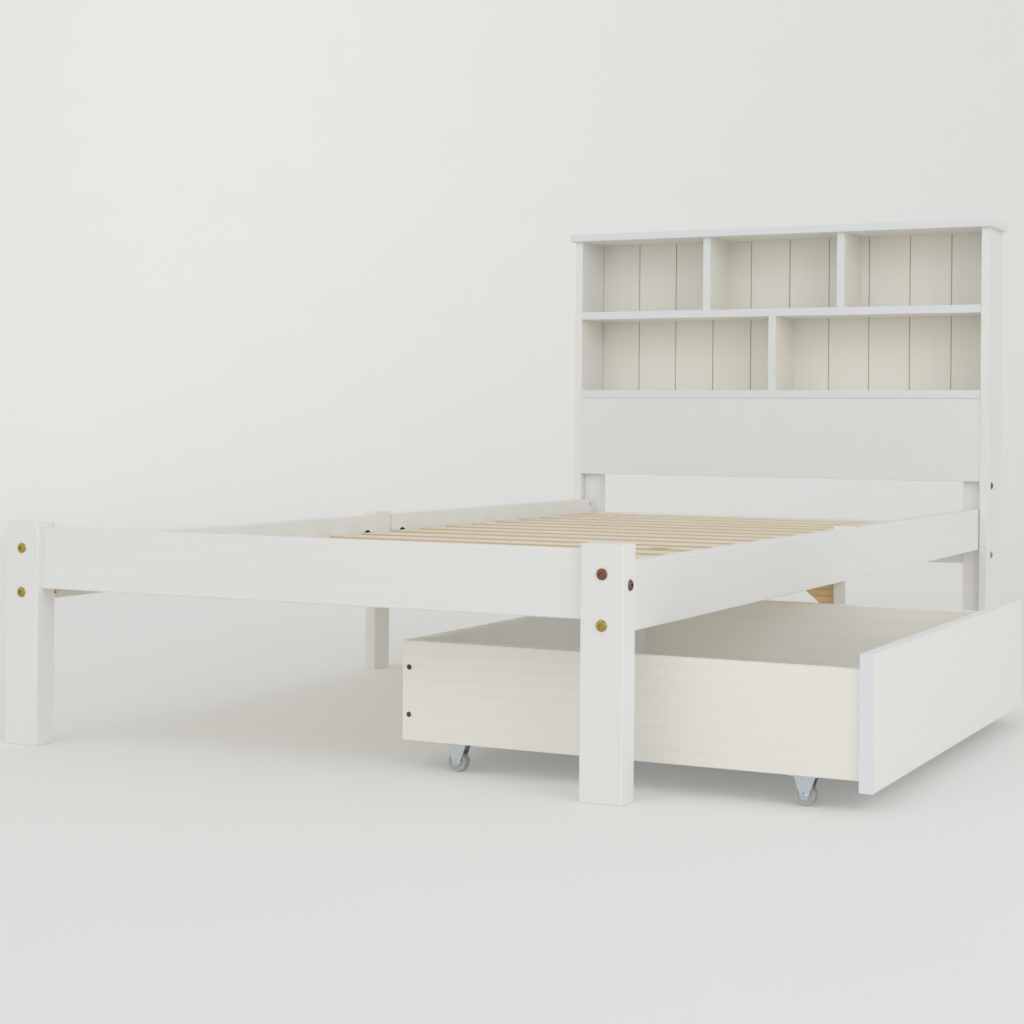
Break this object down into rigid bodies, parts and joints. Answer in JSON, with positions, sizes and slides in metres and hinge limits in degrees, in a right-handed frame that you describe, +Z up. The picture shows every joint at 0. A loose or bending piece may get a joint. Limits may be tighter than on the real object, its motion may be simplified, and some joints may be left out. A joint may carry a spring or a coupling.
{
  "type": "wooden bed frame",
  "caption": "White painted single bed frame with shelved bookcase headboard, bare pine slats and a storage drawer on casters",
  "frame": {"origin": "on the floor under the middle of the whole object's box at rest, with the drawer partly out", "axes": "+X towards the side the drawer pulls out of, +Y from the foot end to the headboard, +Z up"},
  "size_m": [1.3106, 2.1862, 0.946],
  "materials": {
    "white_paint": "satin white paint on pine",
    "cream_paint": "thin warm white paint on board",
    "bare_pine": "planed bare pine",
    "golden_pine": "planed bare golden pine",
    "yellow_zinc": "yellow zinc plated",
    "bright_zinc": "bright zinc plated",
    "grey_plastic": "smooth moulded",
    "beech": "fluted beech dowel, unfinished"
  },
  "bodies": {
    "frame": {"foot_post_left": "white_paint", "foot_post_right": "white_paint", "foot_rail": "white_paint", "side_rail_left_foot": "white_paint", "side_rail_left_head": "white_paint", "side_rail_right_foot": "white_paint", "side_rail_right_head": "white_paint", "mid_leg_left": "white_paint", "mid_leg_right": "white_paint", "mid_cross_beam": "bare_pine", "gussets": "golden_pine", "slat_bearers_left": "bare_pine", "slat_bearers_right": "bare_pine", "head_cross_rail": "white_paint", "slat_01": "bare_pine", "slat_02": "bare_pine", "slat_03": "bare_pine", "slat_04": "bare_pine", "slat_05": "bare_pine", "slat_06": "bare_pine", "slat_07": "bare_pine", "slat_08": "bare_pine", "slat_09": "bare_pine", "slat_10": "bare_pine", "slat_11": "bare_pine", "slat_12": "bare_pine", "slat_13": "bare_pine", "slat_14": "bare_pine", "slat_15": "bare_pine", "slat_16": "bare_pine", "slat_17": "bare_pine", "slat_18": "bare_pine", "headboard_side_left": "white_paint", "headboard_side_right": "white_paint", "headboard_post_left": "white_paint", "headboard_post_right": "white_paint", "headboard_top": "white_paint", "shelf_middle": "cream_paint", "shelf_lower": "cream_paint", "divider_upper_left": "cream_paint", "divider_upper_right": "cream_paint", "divider_lower": "cream_paint", "back_panel": "cream_paint", "headboard_panel": "white_paint", "frame_bolts": "yellow_zinc", "frame_nuts": "bright_zinc", "slat_screws": "bright_zinc", "headboard_dowels": "beech"},
    "drawer": {"drawer_front": "white_paint", "drawer_side_foot": "cream_paint", "drawer_side_head": "cream_paint", "drawer_back": "cream_paint", "drawer_base": "cream_paint", "caster_brackets": "bright_zinc", "caster_axles": "bright_zinc", "drawer_screws": "yellow_zinc"},
    "caster_wheel_1": {"caster_wheel_1": "grey_plastic"},
    "caster_wheel_2": {"caster_wheel_2": "grey_plastic"},
    "caster_wheel_3": {"caster_wheel_3": "grey_plastic"},
    "caster_wheel_4": {"caster_wheel_4": "grey_plastic"}
  },
  "joints": [
    {"name": "drawer_slide", "type": "slide", "parent": "frame", "child": "drawer", "axis": [1, 0, 0], "range_m": [-0.313, 0.375]},
    {"name": "wheel_roll_1", "type": "hinge", "parent": "drawer", "child": "caster_wheel_1", "pos_m": [0.06025, -0.9679, 0.0133], "axis": [0, 1, 0], "continuous": true},
    {"name": "wheel_roll_2", "type": "hinge", "parent": "drawer", "child": "caster_wheel_2", "pos_m": [0.56025, -0.9679, 0.0133], "axis": [0, 1, 0], "continuous": true},
    {"name": "wheel_roll_3", "type": "hinge", "parent": "drawer", "child": "caster_wheel_3", "pos_m": [0.06025, -0.1474, 0.0133], "axis": [0, 1, 0], "continuous": true},
    {"name": "wheel_roll_4", "type": "hinge", "parent": "drawer", "child": "caster_wheel_4", "pos_m": [0.56025, -0.1474, 0.0133], "axis": [0, 1, 0], "continuous": true}
  ],
  "couplings": [
    {"joint": "wheel_roll_1", "follows": "drawer_slide", "rad_per_m": 75.188},
    {"joint": "wheel_roll_2", "follows": "drawer_slide", "rad_per_m": 75.188},
    {"joint": "wheel_roll_3", "follows": "drawer_slide", "rad_per_m": 75.188},
    {"joint": "wheel_roll_4", "follows": "drawer_slide", "rad_per_m": 75.188}
  ]
}
